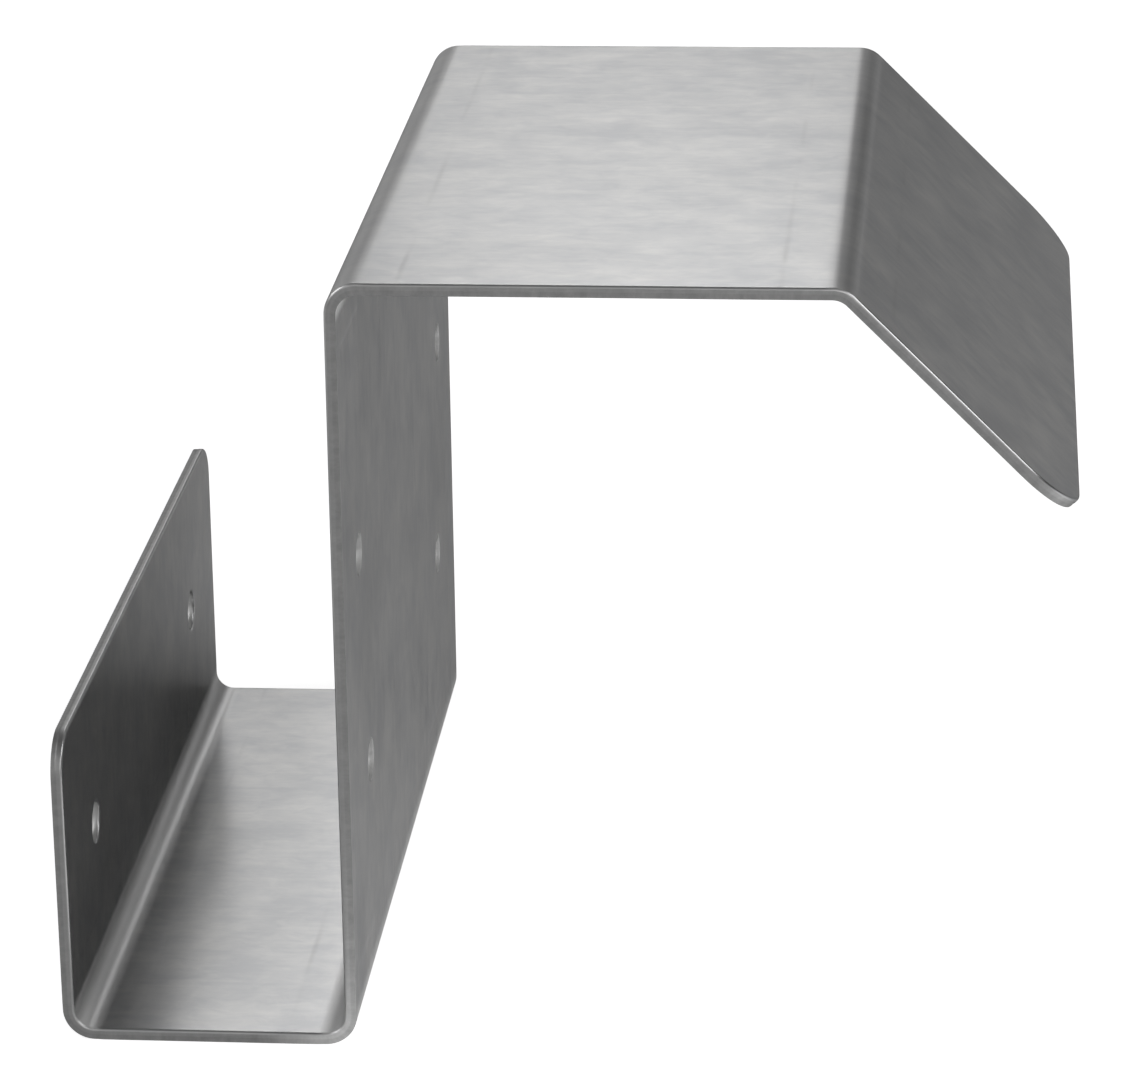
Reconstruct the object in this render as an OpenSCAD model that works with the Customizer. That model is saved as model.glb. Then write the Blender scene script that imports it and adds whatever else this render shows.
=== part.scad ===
// Ladder stabilizer bracket for the front of a roof gutter.
// One blank of sheet metal, punched and folded four times. Its hook hangs over
// the lip of the gutter, and its channel holds a board on edge, on which the
// ladder leans. The profile lies in X and Z, and the folds run along Y.

/* [Sheet] */
// Thickness of the sheet
sheet_t = 1.9; // [1.5:0.1:3]
// Inside radius of every fold
bend_r = 3.2; // [2:0.1:5]
// Length of the bracket along its folds
length = 152.4; // [130:0.1:300]

/* [Board channel] */
// Width inside the channel, between its outer flange and the web
channel_w = 43.4; // [39:0.1:60]
// Height of the outer flange, from the underside of the channel
flange_h = 50.8; // [35:0.1:80]

/* [Hook] */
// Height from the underside of the channel to the top of the hook
overall_h = 125.8; // [100:0.1:180]
// Width of the top plate, from the channel face of the web to the corner above the leg
top_w = 78.8; // [50:0.1:120]
// Length of the leg, from the corner above it to its free end
leg_l = 50.4; // [30:0.1:80]
// Angle by which the leg folds down from the top plate
leg_angle = 45; // [30:5:60]

/* [Free corners] */
// Corner radius of the outer flange
flange_corner_r = 6.5; // [2:0.5:12]
// Corner radius of the leg
leg_corner_r = 11; // [2:0.5:14]

/* [Fastener holes] */
// Diameter of every hole
hole_d = 6.8; // [4:0.1:9]
// Height of the two holes in the outer flange
flange_hole_h = 26.7; // [20:0.1:28]
// Height of the lower pair of holes in the web
low_hole_h = 38.4; // [20:0.1:45]
// Height of the upper pair of holes in the web
high_hole_h = 75.9; // [55:0.1:85]
// Distance between the two holes of the flange, and of the lower pair in the web
board_hole_gap = 100; // [60:1:110]
// Distance between the two holes of the upper pair in the web
high_hole_gap = 114; // [60:1:118]

/* [Hidden] */
$fn = 96;

// Outside radius of a fold
outer_r = bend_r + sheet_t;
// Distance from the corner above the leg to where that fold ends
leg_setback = outer_r * tan(leg_angle / 2);
// Where the web's gutter face stands, with the outer face of the outer flange at X = 0
web_x = channel_w + 2 * sheet_t;
// Flat lengths between the folds, from the top plate round to the outer flange
flats = [
    top_w - outer_r - leg_setback,
    overall_h - 2 * outer_r,
    web_x - 2 * outer_r,
    flange_h - outer_r
];
// Turn at each fold between those flats, where a positive one turns to the left
folds = [90, -90, -90];
// Flat length of the leg
leg_flat = leg_l - leg_setback;
// Centre of the fold between the top plate and the leg
leg_fold = [web_x + bend_r + flats[0], 0, overall_h - outer_r];
// Centre of the top plate's flat underside, where the hook bears on the gutter
seat_centre = [web_x + bend_r + flats[0] / 2, 0, overall_h - sheet_t];
// Reach of a cutter past the face that it cuts
past = 1;
// Reach of the blocks that bound a fold
fold_reach = 2 * outer_r;

// A fold's full ring and the half plane ahead of its start, round the fold's centre
module ring_ahead() {
    intersection() {
        difference() {
            circle(outer_r);
            circle(bend_r);
        }
        translate([0, -fold_reach]) square(2 * fold_reach);
    }
}

// The half plane behind a fold's end, when the sheet goes on along X
module behind() {
    translate([-2 * fold_reach, -fold_reach]) square(2 * fold_reach);
}

// One fold at the end of a flat. Its children carry on from where it ends.
module fold(turn) {
    side = turn > 0 ? 1 : -1;
    radius = turn > 0 ? outer_r : bend_r;
    translate([0, side * radius]) {
        intersection() {
            ring_ahead();
            rotate(turn) behind();
        }
        rotate(turn) translate([0, -side * radius]) children();
    }
}

// The sheet's section from flat number i to the free edge of the outer flange
module section_from(i) {
    square([flats[i], sheet_t]);
    if (i < len(folds))
        translate([flats[i], 0]) fold(folds[i]) section_from(i + 1);
}

// Sweeps a section in X and Z along the folds
module along_folds() {
    rotate([90, 0, 0]) linear_extrude(length, center = true) children();
}

// What is cut away to round both corners of a free edge that lies on X = 0
module corner_offcuts(r) {
    for (side = [0, 1])
        mirror([0, side])
            translate([-r, length / 2 - r])
                difference() {
                    square(r + past);
                    circle(r);
                }
}

// A pair of holes along X through the upright wall that starts at x and is sheet_t thick
module hole_pair(x, height, gap) {
    for (side = [-1, 1])
        translate([x - past, side * gap / 2, height])
            rotate([0, 90, 0]) cylinder(h = sheet_t + 2 * past, d = hole_d);
}

// Top plate, web and channel, with the leg's fold centred on the origin
module plate_web_and_channel() {
    difference() {
        along_folds() rotate(180) translate([0, -outer_r]) section_from(0);
        translate(-leg_fold) {
            translate([-past, 0, flange_h])
                rotate([0, -90, 0])
                    mirror([0, 0, 1]) linear_extrude(sheet_t + 2 * past)
                        corner_offcuts(flange_corner_r);
            hole_pair(0, flange_hole_h, board_hole_gap);
            hole_pair(web_x - sheet_t, low_hole_h, board_hole_gap);
            hole_pair(web_x - sheet_t, high_hole_h, high_hole_gap);
        }
    }
}

// The leg as a level plate along X, with its fold centred on the origin
module leg() {
    translate([0, 0, bend_r])
        linear_extrude(sheet_t)
            difference() {
                translate([0, -length / 2]) square([leg_flat, length]);
                translate([leg_flat, 0]) corner_offcuts(leg_corner_r);
            }
}

// The whole sheet, with the leg's fold centred on the origin. The sheet on each side of
// that fold turns by half its angle, and the whole then turns to bring the plate level.
module folded_sheet() {
    half = leg_angle / 2;
    rotate([0, half, 0]) {
        rotate([0, -half, 0]) plate_web_and_channel();
        intersection() {
            rotate([0, -half, 0]) along_folds() ring_ahead();
            rotate([0, half, 0]) along_folds() behind();
        }
        rotate([0, half, 0]) leg();
    }
}

module bracket() {
    color("silver") translate(leg_fold - seat_centre) folded_sheet();
}

bracket();
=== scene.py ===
"""Ladder stabilizer bracket: one blank of mill-finish aluminium sheet, punched and folded four times."""

import math
from collections import namedtuple

import bmesh
import bpy
from mathutils import Matrix, Vector, noise
from mathutils.geometry import delaunay_2d_cdt


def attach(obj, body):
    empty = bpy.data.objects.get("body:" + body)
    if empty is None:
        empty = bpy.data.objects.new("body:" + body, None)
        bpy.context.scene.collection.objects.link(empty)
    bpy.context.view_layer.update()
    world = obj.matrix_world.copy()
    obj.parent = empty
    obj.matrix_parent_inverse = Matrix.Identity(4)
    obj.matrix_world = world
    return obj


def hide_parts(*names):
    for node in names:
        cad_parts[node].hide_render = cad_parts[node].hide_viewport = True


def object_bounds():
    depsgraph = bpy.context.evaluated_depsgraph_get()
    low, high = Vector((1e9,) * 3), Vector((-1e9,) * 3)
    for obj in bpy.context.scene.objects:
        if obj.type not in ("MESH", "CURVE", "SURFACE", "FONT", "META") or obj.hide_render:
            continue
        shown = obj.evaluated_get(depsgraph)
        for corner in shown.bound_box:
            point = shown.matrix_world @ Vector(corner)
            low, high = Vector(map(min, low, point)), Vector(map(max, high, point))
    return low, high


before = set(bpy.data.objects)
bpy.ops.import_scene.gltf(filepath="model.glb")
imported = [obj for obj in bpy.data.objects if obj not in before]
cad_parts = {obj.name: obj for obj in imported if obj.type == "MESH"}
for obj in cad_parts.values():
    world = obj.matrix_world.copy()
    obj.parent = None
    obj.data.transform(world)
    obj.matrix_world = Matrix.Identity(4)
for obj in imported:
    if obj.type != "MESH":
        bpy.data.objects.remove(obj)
cad_low, cad_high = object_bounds()

MM = 0.001
TAU = 2 * math.pi

# ---------------------------------------------------------------------------
# Driving dimensions in mm, as in the CAD part
# ---------------------------------------------------------------------------
SHEET_T = 1.9
BEND_R = 3.2  # inside radius of every fold
WIDTH = 152.4  # along the folds
CHANNEL_W = 43.4  # inside the channel
FLANGE_H = 50.8
OVERALL_H = 125.8
TOP_W = 78.8  # from the web's channel face to the corner above the leg
LEG_L = 50.4  # from the corner above it to its free end
LEG_ANGLE = 45.0  # by which the leg folds down from the top plate
FLANGE_CORNER_R = 6.5
LEG_CORNER_R = 11.0
HOLE_R = 3.4
# Heights of the holes over the channel's underside, and distances between the two of a pair
FLANGE_HOLE_H = 26.7
LOW_HOLE_H = 38.4
HIGH_HOLE_H = 75.9
BOARD_HOLE_GAP = 100.0
HIGH_HOLE_GAP = 114.0

HALF_T = SHEET_T / 2
HALF_WIDTH = WIDTH / 2
OUTER_R = BEND_R + SHEET_T
MID_R = BEND_R + HALF_T  # radius of a fold on the middle of the sheet
LEG_SETBACK = OUTER_R * math.tan(math.radians(LEG_ANGLE / 2))

# Flat lengths between the folds
FLANGE = FLANGE_H - OUTER_R
FLOOR = CHANNEL_W - 2 * BEND_R
WEB = OVERALL_H - 2 * OUTER_R
TOP = TOP_W - OUTER_R - LEG_SETBACK
LEG = LEG_L - LEG_SETBACK

# From the flange's free edge to the leg's: a flat's length in mm, or a fold's turn in degrees
PROFILE = [
    ("flat", FLANGE),
    ("fold", 90.0),
    ("flat", FLOOR),
    ("fold", 90.0),
    ("flat", WEB),
    ("fold", -90.0),
    ("flat", TOP),
    ("fold", -LEG_ANGLE),
    ("flat", LEG),
]
# Where the sheet's middle starts, with the origin in the middle of the top plate's flat underside
START_X = -TOP / 2 - 3 * MID_R - FLOOR
START_Z = HALF_T - MID_R - WEB + FLANGE

# A flat or a fold: where it starts and ends along the sheet, and its place, heading and turn
Part = namedtuple("Part", "start end x z heading turn")


class Strip:
    """The middle line of the sheet in X and Z, by the distance s from the flange's free edge."""

    def __init__(self):
        self.parts = []
        s, x, z, heading = 0.0, START_X, START_Z, -math.pi / 2
        for kind, value in PROFILE:
            turn = math.radians(value) if kind == "fold" else 0.0
            size = abs(turn) * MID_R if kind == "fold" else value
            part = Part(s, s + size, x, z, heading, turn)
            self.parts.append(part)
            x, z, heading = self.walk(part, size)
            s += size
        self.length = s

    @staticmethod
    def walk(part, along):
        """The place and heading at a distance along a part."""
        if part.turn == 0.0:
            x = part.x + along * math.cos(part.heading)
            z = part.z + along * math.sin(part.heading)
            return x, z, part.heading
        r = math.copysign(MID_R, part.turn)
        now = part.heading + part.turn * along / (part.end - part.start)
        x = part.x + r * (math.sin(now) - math.sin(part.heading))
        z = part.z - r * (math.cos(now) - math.cos(part.heading))
        return x, z, now

    def part_at(self, s):
        for part in self.parts:
            if s <= part.end:
                return part
        return self.parts[-1]

    def place(self, s, y, w):
        """The point, in metres, w off the sheet's middle on the side that is the top plate's upper one."""
        part = self.part_at(s)
        x, z, now = self.walk(part, s - part.start)
        return Vector((x - w * math.sin(now), y, z + w * math.cos(now))) * MM


STRIP = Strip()
LENGTH = STRIP.length
FLATS = [part for part in STRIP.parts if not part.turn]
FOLDS = [part for part in STRIP.parts if part.turn]
FLOOR_START = FLATS[1].start
WEB_START = FLATS[2].start

# Rows of two holes: the row's s, and the distance between the two
HOLE_ROWS = [
    (FLANGE_H - FLANGE_HOLE_H, BOARD_HOLE_GAP),
    (WEB_START + LOW_HOLE_H - OUTER_R, BOARD_HOLE_GAP),
    (WEB_START + HIGH_HOLE_H - OUTER_R, HIGH_HOLE_GAP),
]
HOLES = [(s, side * gap / 2) for s, gap in HOLE_ROWS for side in (-1, 1)]

# ---------------------------------------------------------------------------
# Where the sheet is divided, and its edges, laid out flat in s and y
# ---------------------------------------------------------------------------
FLAT_STEP = 4.0
FOLD_STEP = math.radians(4.5)
FOLD_MARGINS = (0.4, 1.3)  # distances past a fold's end of the lines that hold its shape
HOLE_STEPS = 40
CORNER_STEPS = 12
RIM = 0.9  # width of the band along an edge that the shear has shaped
GRID_GAP = 0.6  # least distance of the flats' points from that band
HOLE_RINGS = (2.0, 3.6)  # distances from a hole's edge of the rings of points round it
HOLE_GAP = 5.2  # least distance of the flats' other points from a hole's edge
# Rows of points across the sheared edge, from the rolled side to the burred one: inset from the
# cut, height over the sheet's middle, and how much of the cut's own finish shows
EDGE_ROWS = [
    (0.62, HALF_T, 0.0),
    (0.42, HALF_T - 0.015, 0.0),
    (0.27, HALF_T - 0.055, 0.0),
    (0.15, HALF_T - 0.125, 0.05),
    (0.065, HALF_T - 0.22, 0.2),
    (0.015, HALF_T - 0.33, 0.5),
    (0.0, HALF_T - 0.45, 1.0),
    (0.0, -0.05, 1.0),
    (0.035, -0.14, 1.0),
    (0.05, -0.45, 1.0),
    (0.06, -0.80, 1.0),
    (0.075, 0.025 - HALF_T, 1.0),
    (0.12, -HALF_T, 0.3),
    (0.5, -HALF_T, 0.0),
]


def s_lines():
    """Lines across the strip: close in the folds and beside them, and wider on the flats."""
    lines = [0.0]
    for part in STRIP.parts:
        start, end = part.start, part.end
        if part.turn:
            n = round(abs(part.turn) / FOLD_STEP)
            lines += [start + (end - start) * i / n for i in range(1, n + 1)]
            continue
        after = [start + d for d in FOLD_MARGINS] if start > 0 else []
        before = [end - d for d in reversed(FOLD_MARGINS)] if end < LENGTH else []
        first = after[-1] if after else start
        last = before[0] if before else end
        n = round((last - first) / FLAT_STEP)
        lines += after
        lines += [first + (last - first) * i / n for i in range(1, n)]
        lines += before + [end]
    return lines


def y_lines():
    n = round(WIDTH / FLAT_STEP)
    return [-HALF_WIDTH + WIDTH * i / n for i in range(n + 1)]


S_LINES, Y_LINES = s_lines(), y_lines()


def arc(cs, cy, r, start, end):
    """Points and inward directions along an outer corner, its two ends included."""
    out = []
    for i in range(CORNER_STEPS + 1):
        a = start + (end - start) * i / CORNER_STEPS
        e = Vector((math.cos(a), math.sin(a)))
        out.append((Vector((cs, cy)) + e * r, -e))
    return out


def outline():
    """The blank's outer edge anticlockwise in s and y: points and inward directions."""
    fr, lr, half = FLANGE_CORNER_R, LEG_CORNER_R, HALF_WIDTH
    clear = 0.5  # least distance of a straight edge's points from a corner's
    along = [s for s in S_LINES if fr + clear < s < LENGTH - lr - clear]
    near_leg = [y for y in Y_LINES if abs(y) < half - lr - clear]
    near_flange = [y for y in Y_LINES if abs(y) < half - fr - clear]
    loop = [(Vector((s, -half)), Vector((0, 1))) for s in along]
    loop += arc(LENGTH - lr, lr - half, lr, -math.pi / 2, 0)
    loop += [(Vector((LENGTH, y)), Vector((-1, 0))) for y in near_leg]
    loop += arc(LENGTH - lr, half - lr, lr, 0, math.pi / 2)
    loop += [(Vector((s, half)), Vector((0, -1))) for s in reversed(along)]
    loop += arc(fr, half - fr, fr, math.pi / 2, math.pi)
    loop += [(Vector((0, y)), Vector((1, 0))) for y in reversed(near_flange)]
    loop += arc(fr, fr - half, fr, math.pi, 1.5 * math.pi)
    return loop


def hole_edge(s, y):
    """A hole's edge, walked with the sheet on the left: points and directions into the sheet."""
    loop = []
    for i in range(HOLE_STEPS):
        a = -TAU * i / HOLE_STEPS
        e = Vector((math.cos(a), math.sin(a)))
        loop.append((Vector((s, y)) + e * HOLE_R, e))
    return loop


def edge_distance(s, y):
    """How far a point lies inside the blank's outline, which is negative outside it."""
    r = FLANGE_CORNER_R if s < LENGTH / 2 else LEG_CORNER_R
    ds = min(s, LENGTH - s)
    dy = HALF_WIDTH - abs(y)
    if ds < r and dy < r:
        return r - math.hypot(r - ds, r - dy)
    return min(ds, dy)


def hole_distance(s, y):
    """How far a point lies from the nearest hole's edge, which is negative in the hole."""
    return min(math.hypot(s - hs, y - hy) for hs, hy in HOLES) - HOLE_R


def flat_triangles(loops):
    """The points inside the edge bands, of which the loops come first, and the triangles between them."""
    points, walls = [], []
    for loop in loops:
        first = len(points)
        points += [p + d * RIM for p, d in loop]
        walls += [(first + i, first + (i + 1) % len(loop)) for i in range(len(loop))]
    ring_steps = HOLE_STEPS // 2
    for hs, hy in HOLES:
        for ring, gap in enumerate(HOLE_RINGS):
            for i in range(ring_steps):
                a = TAU * (i + 0.5 * ring) / ring_steps
                r = HOLE_R + gap
                points.append(Vector((hs + r * math.cos(a), hy + r * math.sin(a))))
    for s in S_LINES:
        for y in Y_LINES:
            if edge_distance(s, y) > RIM + GRID_GAP and hole_distance(s, y) > HOLE_GAP:
                points.append(Vector((s, y)))
    count = len(points)
    merge_within = 1e-6
    verts, _, faces, origins, _, _ = delaunay_2d_cdt(points, walls, [], 0, merge_within)
    assert len(verts) == count
    back = [o[0] for o in origins]
    least = RIM - 0.02  # a little less than the band, so that triangles on its border count
    kept = []
    for face in faces:
        centre = sum((verts[i] for i in face), Vector((0, 0))) / 3
        if edge_distance(*centre) > least and hole_distance(*centre) > least:
            kept.append([back[i] for i in face])
    return points, kept


# ---------------------------------------------------------------------------
# What rolling, handling, shearing and folding did to the sheet
# ---------------------------------------------------------------------------
WAVE = 0.03  # half the height of the sheet's slight waves
# Lengths of the waves along s and y, a slice through the noise, and the wave's share
WAVES = [(46, 40, 3.7, 1.0), (19, 23, 9.2, 0.4)]
WAVE_PEAK = 1.1  # about the highest that their sum gets
# Small handling dents: s, y, radius, depth and side
DENTS = [
    (LENGTH - 2.2, -70.0, 1.6, 0.05, 1),
    (FLOOR_START + 6.5, -62.0, 0.9, 0.05, 1),
]
TORN_DEPTH = 0.018
TORN_SCALE, TORN_SCALE_W = 3.1, 2.0  # of its noise, along the edge and across the sheet, per mm
EDGE_PULL = 0.16  # by which the outer side draws in at a right-angled fold
PULL_REACH = 2.0  # how far past the fold's ends it still does
OUTSIDE_SHARE = 0.5  # of a fold's finish on its outer side, which no punch pressed


def bias(s):
    """1 where waves must stay over the sheet's middle to keep in its box, and -1 where under it."""
    return max(-1.0, min(1.0, 1 - 2 * (s - WEB_START) / WEB))


def waves(s, y):
    """Slight waves of a rolled, handled sheet."""
    n = sum(share * noise.noise(Vector((s / ls, y / ly, at))) for ls, ly, at, share in WAVES)
    return WAVE * (n / WAVE_PEAK + bias(s))


def dents(s, y, w):
    """How deep a point lies in a dent of its side."""
    depth_here = 0.0
    for ds, dy, r, depth, side in DENTS:
        d = math.hypot(s - ds, y - dy) / r
        if d < 1 and w * side > 0:
            depth_here += side * depth * (1 - d * d) ** 2
    return depth_here


def torn(p, w):
    """How far the torn part of a sheared edge is recessed."""
    return TORN_DEPTH * abs(noise.noise(Vector((p.x * TORN_SCALE, p.y * TORN_SCALE, w * TORN_SCALE_W))))


def beyond(fold, s):
    """How far s lies past a fold's ends."""
    return max(fold.start - s, s - fold.end, 0.0)


def fold_pull(s, w):
    """How far an edge draws in across a fold, where the outer side stretches."""
    pull = 0.0
    for fold in FOLDS:
        near = max(0.0, 1 - beyond(fold, s) / PULL_REACH)
        outer = 0.5 - math.copysign(1, fold.turn) * w / SHEET_T
        pull += EDGE_PULL * abs(fold.turn) / (math.pi / 2) * near * near * (3 - 2 * near) * outer
    return pull


def fold_share(s, w):
    """How much of a fold's finish shows: all in its hollow, less outside it, and none far from it."""
    share = 0.0
    for fold in FOLDS:
        pressed = 1.0 if fold.turn * w > 0 else OUTSIDE_SHARE
        share = max(share, pressed * (1 - beyond(fold, s) / FOLD_MARGINS[-1]))
    return share


# ---------------------------------------------------------------------------
# The sheet as a mesh, folded
# ---------------------------------------------------------------------------
class Skin:
    """The sheet's mesh in the making, with what the material reads at each point."""

    def __init__(self):
        self.bm = bmesh.new()
        self.strip = []
        self.marks = {"cut": [], "bore": [], "fold": []}

    def add(self, p, w, cut=0.0, bore=0.0):
        s, y = p
        lift = waves(s, y) - dents(s, y, w)
        self.strip.append((s * MM, y * MM, w * MM))
        for name, value in (("cut", cut), ("bore", bore), ("fold", fold_share(s, w))):
            self.marks[name].append(value)
        return self.bm.verts.new(STRIP.place(s, y, w + lift))

    def add_faces(self, points, triangles):
        """Both faces of the sheet inside the edge bands: the points of the upper and the lower one."""
        upper = [self.add(p, HALF_T) for p in points]
        lower = [self.add(p, -HALF_T) for p in points]
        for a, b, c in triangles:
            if (points[b] - points[a]).cross(points[c] - points[a]) < 0:
                b, c = c, b
            # Every face is wound with its normal inwards, and to_mesh turns them all out
            self.bm.faces.new((upper[a], upper[c], upper[b]))
            self.bm.faces.new((lower[a], lower[b], lower[c]))
        return upper, lower

    def add_edge(self, loop, upper_row, lower_row, is_hole):
        """The sheared edge along a loop, from the upper face's points to the lower one's."""
        rows = [upper_row]
        for inset, w, cut in EDGE_ROWS:
            share = 1 - inset / RIM
            row = []
            for p, d in loop:
                recess = torn(p, w) if cut == 1.0 and w < 0 else 0.0
                q = p + d * (inset + recess)
                # The folds run out only at the straight ends, which face along y
                if abs(d.y) > 0.99:
                    q.y += math.copysign(fold_pull(q.x, w) * share, d.y)
                row.append(self.add(q, w, cut, cut if is_hole else 0.0))
            rows.append(row)
        rows.append(lower_row)
        n = len(loop)
        for above, below in zip(rows, rows[1:]):
            for i in range(n):
                j = (i + 1) % n
                self.bm.faces.new((above[i], above[j], below[j], below[i]))

    def to_mesh(self, name):
        bmesh.ops.join_triangles(
            self.bm,
            faces=[f for f in self.bm.faces if len(f.verts) == 3],
            angle_face_threshold=math.radians(1),
            angle_shape_threshold=math.radians(20),
        )
        bmesh.ops.recalc_face_normals(self.bm, faces=self.bm.faces)
        mesh = bpy.data.meshes.new(name)
        self.bm.to_mesh(mesh)
        self.bm.free()
        strip = mesh.attributes.new("strip", "FLOAT_VECTOR", "POINT")
        strip.data.foreach_set("vector", [v for p in self.strip for v in p])
        for mark, values in self.marks.items():
            mesh.attributes.new(mark, "FLOAT", "POINT").data.foreach_set("value", values)
        uv = mesh.uv_layers.new(name="strip_uv")
        corners = [0] * len(mesh.loops)
        mesh.loops.foreach_get("vertex_index", corners)
        uv.data.foreach_set("uv", [c / (LENGTH * MM) for v in corners for c in self.strip[v][:2]])
        return mesh


def build_sheet():
    edge = outline()
    hole_edges = [hole_edge(s, y) for s, y in HOLES]
    points, triangles = flat_triangles([edge] + hole_edges)
    skin = Skin()
    upper, lower = skin.add_faces(points, triangles)
    first = 0
    for loop in [edge] + hole_edges:
        end = first + len(loop)
        skin.add_edge(loop, upper[first:end], lower[first:end], loop is not edge)
        first = end

    mesh = skin.to_mesh("bracket_sheet")
    for polygon in mesh.polygons:
        polygon.use_smooth = True
    mesh.set_sharp_from_angle(angle=math.radians(38))
    piece = bpy.data.objects.new("bracket_sheet", mesh)
    bpy.context.scene.collection.objects.link(piece)
    weighted = piece.modifiers.new("flat_faces_lead", "WEIGHTED_NORMAL")
    weighted.keep_sharp = True
    weighted.mode = "FACE_AREA"
    weighted.weight = 80
    return piece


# ---------------------------------------------------------------------------
# Short calls for building a node tree
# ---------------------------------------------------------------------------
MIX_SOCKETS = {"RGBA": (6, 7, 2), "FLOAT": (2, 3, 0)}  # the mix node's A, B and result by data type


class Nodes:
    """One node tree, emptied and built anew."""

    def __init__(self, tree):
        self.tree = tree
        tree.nodes.clear()

    def add(self, kind, **values):
        node = self.tree.nodes.new(kind)
        for name, value in values.items():
            setattr(node, name, value)
        return node

    def link(self, source, target):
        self.tree.links.new(source, target)

    def feed(self, socket, value):
        """Links another node's socket, or sets a plain value."""
        if isinstance(value, bpy.types.NodeSocket):
            self.link(value, socket)
        else:
            socket.default_value = value

    def attribute(self, name, output="Fac"):
        return self.add("ShaderNodeAttribute", attribute_name=name).outputs[output]

    def xyz(self, vector):
        node = self.add("ShaderNodeSeparateXYZ")
        self.link(vector, node.inputs[0])
        return tuple(node.outputs)

    def math(self, operation, a, b=0.0):
        node = self.add("ShaderNodeMath", operation=operation)
        self.feed(node.inputs[0], a)
        self.feed(node.inputs[1], b)
        return node.outputs[0]

    def total(self, *terms):
        """The sum of terms, each a value and its weight."""
        weighed = [self.math("MULTIPLY", value, weight) for value, weight in terms]
        out = weighed[0]
        for term in weighed[1:]:
            out = self.math("ADD", out, term)
        return out

    def noise(self, vector, scale, offset=(0, 0, 0), detail=3.0, rough=0.5, distort=0.0):
        place = self.add("ShaderNodeMapping")
        self.link(vector, place.inputs["Vector"])
        place.inputs["Scale"].default_value = scale
        place.inputs["Location"].default_value = offset
        node = self.add("ShaderNodeTexNoise")
        self.link(place.outputs[0], node.inputs["Vector"])
        node.inputs["Scale"].default_value = 1.0
        node.inputs["Detail"].default_value = detail
        node.inputs["Roughness"].default_value = rough
        node.inputs["Distortion"].default_value = distort
        return node.outputs["Fac"]

    def span(self, value, low, high, to_low=0.0, to_high=1.0, smooth=False):
        """Maps low to high onto to_low to to_high, and holds the ends beyond them."""
        node = self.add("ShaderNodeMapRange", clamp=True)
        if smooth:
            node.interpolation_type = "SMOOTHSTEP"
        self.link(value, node.inputs["Value"])
        for name, v in (("From Min", low), ("From Max", high), ("To Min", to_low), ("To Max", to_high)):
            node.inputs[name].default_value = v
        return node.outputs["Result"]

    def mix(self, factor, a, b, kind="RGBA"):
        first, second, result = MIX_SOCKETS[kind]
        node = self.add("ShaderNodeMix", data_type=kind)
        self.feed(node.inputs["Factor"], factor)
        self.feed(node.inputs[first], a)
        self.feed(node.inputs[second], b)
        return node.outputs[result]

    def camera_sees(self, level, otherwise):
        """At least the level where the camera looks straight at a thing, and the other value elsewhere."""
        path = self.add("ShaderNodeLightPath")
        return self.math("MAXIMUM", otherwise, self.math("MULTIPLY", path.outputs["Is Camera Ray"], level))


# ---------------------------------------------------------------------------
# Mill-finish aluminium
# ---------------------------------------------------------------------------
# Colours of the face and its marks, of the cut's torn part and burnished land, each from dark to
# light, and of the holes
OXIDE = (0.635, 0.639, 0.647, 1)
BARE = (0.785, 0.78, 0.77, 1)
DIE_LINE = (0.52, 0.52, 0.52, 1)
PRESSED = (0.86, 0.86, 0.855, 1)
SHEAR = ((0.40, 0.40, 0.40, 1), (0.50, 0.50, 0.498, 1))
BURNISH = ((0.46, 0.46, 0.46, 1), (0.54, 0.54, 0.538, 1))
BORE = (0.72, 0.72, 0.715, 1)
DIE_LINE_AT = 9.3 * MM  # from a fold's middle, along the strip
DIE_LINE_HALF_W = 0.7 * MM
# Heights over the sheet's middle between which a cut's torn part gives way to its burnished land
LAND_FROM, LAND_TO = -0.12 * MM, 0.02 * MM


def die_lines(n, strip, s):
    """Faint, broken lines where the die's shoulders pressed, on both sides of each fold."""
    line = None
    for fold in FOLDS:
        for side in (-1, 1):
            at = (fold.start + fold.end) / 2 * MM + side * DIE_LINE_AT
            away = n.math("ABSOLUTE", n.math("SUBTRACT", s, at))
            mark = n.span(away, 0.0, DIE_LINE_HALF_W, 1.0, 0.0, smooth=True)
            line = mark if line is None else n.math("MAXIMUM", line, mark)
    patchy = n.span(n.noise(strip, (140, 60, 900), (5.0, 2.0, 1.0), detail=2.0), 0.40, 0.62)
    return n.math("MULTIPLY", line, patchy)


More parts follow.
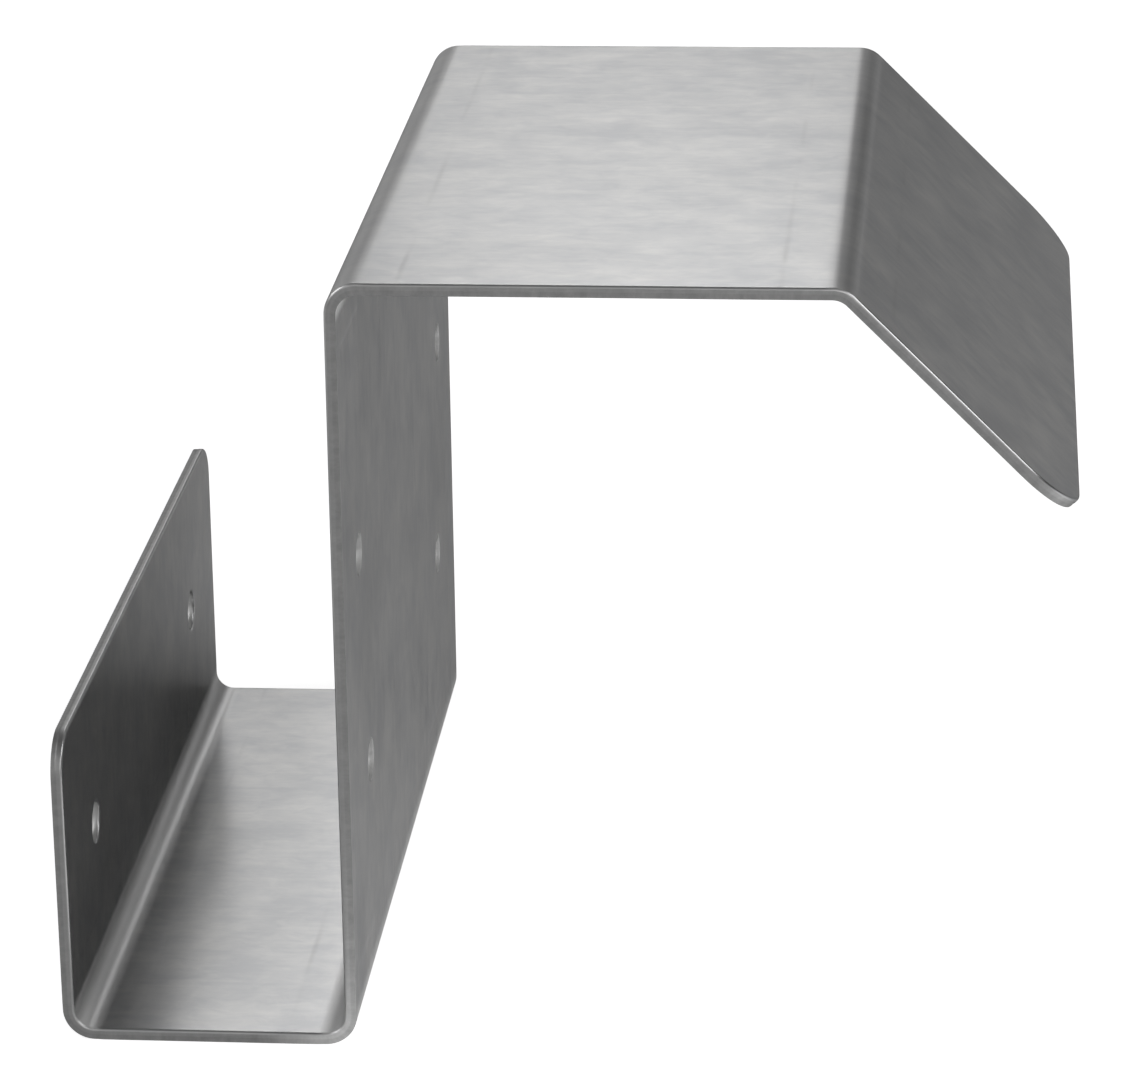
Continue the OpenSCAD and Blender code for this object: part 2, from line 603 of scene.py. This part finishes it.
def aluminium():
    mat = bpy.data.materials.new("mill_finish_aluminium")
    mat.use_nodes = True
    n = Nodes(mat.node_tree)
    strip = n.attribute("strip", "Vector")
    cut, bore, fold = n.attribute("cut"), n.attribute("bore"), n.attribute("fold")
    s, _, w = n.xyz(strip)

    # Rolling grain runs along the strip. Blotches, patches and clouds come from handling and oxide.
    # A noise's scale is per metre along s, y and w.
    fine = n.noise(strip, (60, 2600, 900), detail=2.0)
    grain = n.noise(strip, (38, 700, 900), (3.1, 7.7, 0.0), detail=3.0, rough=0.6)
    blotch = n.noise(strip, (85, 95, 900), (1.3, 4.1, 2.0), detail=4.0, rough=0.55, distort=0.4)
    patch = n.noise(strip, (190, 330, 900), (6.1, 2.9, 4.0), detail=3.0, rough=0.6, distort=0.6)
    cloud = n.noise(strip, (22, 26, 900), (8.3, 0.6, 5.0), detail=2.0)
    streaks = n.noise(strip, (900, 900, 500), (0.0, 0.0, 0.4), detail=3.0, rough=0.6)
    line = die_lines(n, strip, s)

    # Colour
    tone = n.total((blotch, 0.45), (patch, 0.35), (grain, 0.15))
    face = n.mix(n.span(tone, 0.38, 0.62), OXIDE, BARE)
    face = n.mix(n.math("MULTIPLY", line, 0.15), face, DIE_LINE)
    face = n.mix(n.math("MULTIPLY", fold, 0.8), face, PRESSED)
    streaky = n.span(streaks, 0.3, 0.7)
    on_land = n.span(w, LAND_FROM, LAND_TO)
    sheared = n.mix(on_land, n.mix(streaky, *SHEAR), n.mix(streaky, *BURNISH))
    colour = n.mix(cut, face, sheared)
    colour = n.mix(bore, colour, BORE)

    # Roughness
    rough = n.span(n.total((cloud, 0.6), (grain, 0.4)), 0.3, 0.7, 0.27, 0.32)
    rough = n.math("ADD", rough, n.total((line, 0.05), (fold, 0.22)))
    cut_rough = n.span(w, LAND_FROM, LAND_TO, 0.44, 0.36)
    rough = n.total((rough, n.math("SUBTRACT", 1.0, cut)), (cut_rough, cut))

    # Relief, with weights in metres
    relief = n.total(
        (blotch, 9e-6),
        (cloud, 2e-5),
        (grain, 0.8e-6),
        (fine, 1.2e-7),
        (line, -0.8e-6),
        (n.math("MULTIPLY", streaks, cut), 1.2e-5),
    )
    bump = n.add("ShaderNodeBump")
    bump.inputs["Strength"].default_value = 1.0
    bump.inputs["Distance"].default_value = 1.0
    n.link(relief, bump.inputs["Height"])

    shader = n.add("ShaderNodeBsdfPrincipled")
    n.link(colour, shader.inputs["Base Color"])
    n.link(rough, shader.inputs["Roughness"])
    n.link(bump.outputs[0], shader.inputs["Normal"])
    shader.inputs["Metallic"].default_value = 1.0
    shader.inputs["Specular Tint"].default_value = (0.2, 0.2, 0.2, 1.0)
    shader.inputs["Anisotropic"].default_value = 0.55
    shader.inputs["Anisotropic Rotation"].default_value = 0.25
    tangent = n.add("ShaderNodeTangent", direction_type="UV_MAP", uv_map="strip_uv")
    n.link(tangent.outputs[0], shader.inputs["Tangent"])
    out = n.add("ShaderNodeOutputMaterial")
    n.link(shader.outputs[0], out.inputs["Surface"])
    return mat


# ---------------------------------------------------------------------------
# Floor, world and lights in metres: the metal reflects less light than the camera sees there
# ---------------------------------------------------------------------------
FLOOR_HALF = 6.0
FLOOR_GREY = (0.7, 0.7, 0.7, 1)
FLOOR_SEEN = 0.78
WORLD_SEEN = 0.97
OVER_CHANNEL = (-0.05, 0.0, 0.0)
ORIGIN = (0.0, 0.0, 0.0)
# Name, place, aim, size and watts
SOFTBOXES = [
    ("back_softbox", (-0.09, 1.40, 0.60), OVER_CHANNEL, (0.30, 0.52), 1.15),
    ("back_left_softbox", (-0.62, 1.22, 0.40), OVER_CHANNEL, (0.72, 0.70), 1.20),
    ("back_high_softbox", (-0.22, 1.36, 0.80), OVER_CHANNEL, (0.50, 0.32), 0.80),
    ("back_right_softbox", (0.50, 1.30, 0.06), (0.05, 0.0, -0.03), (0.72, 0.28), 0.50),
    ("back_right_high_softbox", (0.28, 1.25, 0.95), OVER_CHANNEL, (0.45, 0.35), 0.40),
    ("front_softbox", (0.35, -1.25, 0.55), (0.0, 0.0, -0.05), (0.50, 0.50), 1.0),
    ("left_softbox", (-1.1, -0.35, 0.75), ORIGIN, (0.7, 0.7), 4.5),
    ("right_softbox", (1.1, -0.2, 0.85), ORIGIN, (0.7, 0.7), 4.0),
]


def floor_material():
    mat = bpy.data.materials.new("studio_floor")
    mat.use_nodes = True
    n = Nodes(mat.node_tree)
    x, y, _ = n.xyz(n.add("ShaderNodeTexCoord").outputs["Object"])
    # What the metal sees in reflections is a painted glow on the floor: painted light beside the web, a
    # painted shadow right behind the channel that gives way to light further back, and little light in
    # front
    right_of_web = n.span(x, -0.055, -0.042)
    beside_web = n.span(y, -0.02, 0.12, 0.56, 0.28, smooth=True)
    behind_channel = n.span(y, 0.06, 0.15, 0.0, 0.40, smooth=True)
    in_front = n.span(y, -0.16, -0.07, 0.15, 1.0, smooth=True)
    across = n.mix(right_of_web, behind_channel, beside_web, "FLOAT")
    matte = n.add("ShaderNodeBsdfDiffuse")
    matte.inputs["Color"].default_value = FLOOR_GREY
    # The floor glows though it is no lamp: painted light and shade for the metal's reflections, and an even
    # pale floor where the camera looks at it
    glow = n.add("ShaderNodeEmission")
    n.link(n.camera_sees(FLOOR_SEEN, n.math("MULTIPLY", across, in_front)), glow.inputs["Strength"])
    both = n.add("ShaderNodeAddShader")
    n.link(matte.outputs[0], both.inputs[0])
    n.link(glow.outputs[0], both.inputs[1])
    out = n.add("ShaderNodeOutputMaterial")
    n.link(both.outputs[0], out.inputs["Surface"])
    return mat


def build_floor():
    mesh = bpy.data.meshes.new("studio_floor")
    corners = [(x * FLOOR_HALF, y * FLOOR_HALF, cad_low.z) for x, y in ((-1, -1), (1, -1), (1, 1), (-1, 1))]
    mesh.from_pydata(corners, [], [(0, 1, 2, 3)])
    mesh.materials.append(floor_material())
    floor = bpy.data.objects.new("studio_floor", mesh)
    bpy.context.scene.collection.objects.link(floor)


def build_world():
    world = bpy.data.worlds.new("studio")
    bpy.context.scene.world = world
    world.use_nodes = True
    n = Nodes(world.node_tree)
    _, y, z = n.xyz(n.add("ShaderNodeTexCoord").outputs["Generated"])
    # By direction, with y to the back and z up: a bright low band behind, and less overhead and in front
    back = n.span(y, -0.3, 0.7, 0.07, 0.82, smooth=True)
    low = n.span(z, 0.02, 0.15, 0.50, 0.02, smooth=True)
    overhead = n.span(z, 0.40, 0.80, 0.0, 0.14, smooth=True)
    front = n.span(y, -0.75, -0.15, 0.55, 0.0, smooth=True)
    not_high = n.span(z, 0.45, 0.80, 1.0, 0.4, smooth=True)
    level = n.math("ADD", n.total((back, low), (front, not_high)), overhead)
    glow = n.add("ShaderNodeBackground")
    n.link(n.camera_sees(WORLD_SEEN, level), glow.inputs["Strength"])
    out = n.add("ShaderNodeOutputWorld")
    n.link(glow.outputs[0], out.inputs["Surface"])


def build_lights():
    for name, place, aim, size, watts in SOFTBOXES:
        data = bpy.data.lights.new(name, "AREA")
        data.shape = "RECTANGLE"
        data.size, data.size_y = size
        data.energy = watts
        light = bpy.data.objects.new(name, data)
        light.location = place
        light.rotation_euler = (Vector(aim) - Vector(place)).to_track_quat("-Z", "Y").to_euler()
        bpy.context.scene.collection.objects.link(light)


# ---------------------------------------------------------------------------
# Camera at the photograph's viewing angle
# ---------------------------------------------------------------------------
CAMERA_PLACE = (0.058556, -0.788467, 0.211070)
SENSOR_W = 36.0  # mm
LENS = 159.046  # mm
# In degrees: turned about Z from looking along Y, tilted down, and rolled
CAMERA_TURN, CAMERA_TILT, CAMERA_ROLL = -5.11043, 19.27484, -0.89762


def build_camera():
    turn, tilt, roll = (math.radians(a) for a in (CAMERA_TURN, CAMERA_TILT, CAMERA_ROLL))
    ahead = Vector((math.sin(turn) * math.cos(tilt), math.cos(turn) * math.cos(tilt), -math.sin(tilt)))
    right = Vector((math.cos(turn), -math.sin(turn), 0))
    up = right.cross(ahead)
    side = right * math.cos(roll) + up * math.sin(roll)
    top = up * math.cos(roll) - right * math.sin(roll)
    data = bpy.data.cameras.new("camera")
    data.sensor_width = SENSOR_W
    data.lens = LENS
    data.clip_start, data.clip_end = 0.01, 50.0
    camera = bpy.data.objects.new("camera", data)
    turned = Matrix((side, top, -ahead)).transposed().to_4x4()
    camera.matrix_world = Matrix.Translation(CAMERA_PLACE) @ turned
    bpy.context.scene.collection.objects.link(camera)
    bpy.context.scene.camera = camera


build_camera()
build_world()
build_floor()
build_lights()

sheet = build_sheet()
sheet.data.materials.append(aluminium())
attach(sheet, "root")
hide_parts("bracket")

bpy.context.scene.view_settings.view_transform = "Standard"
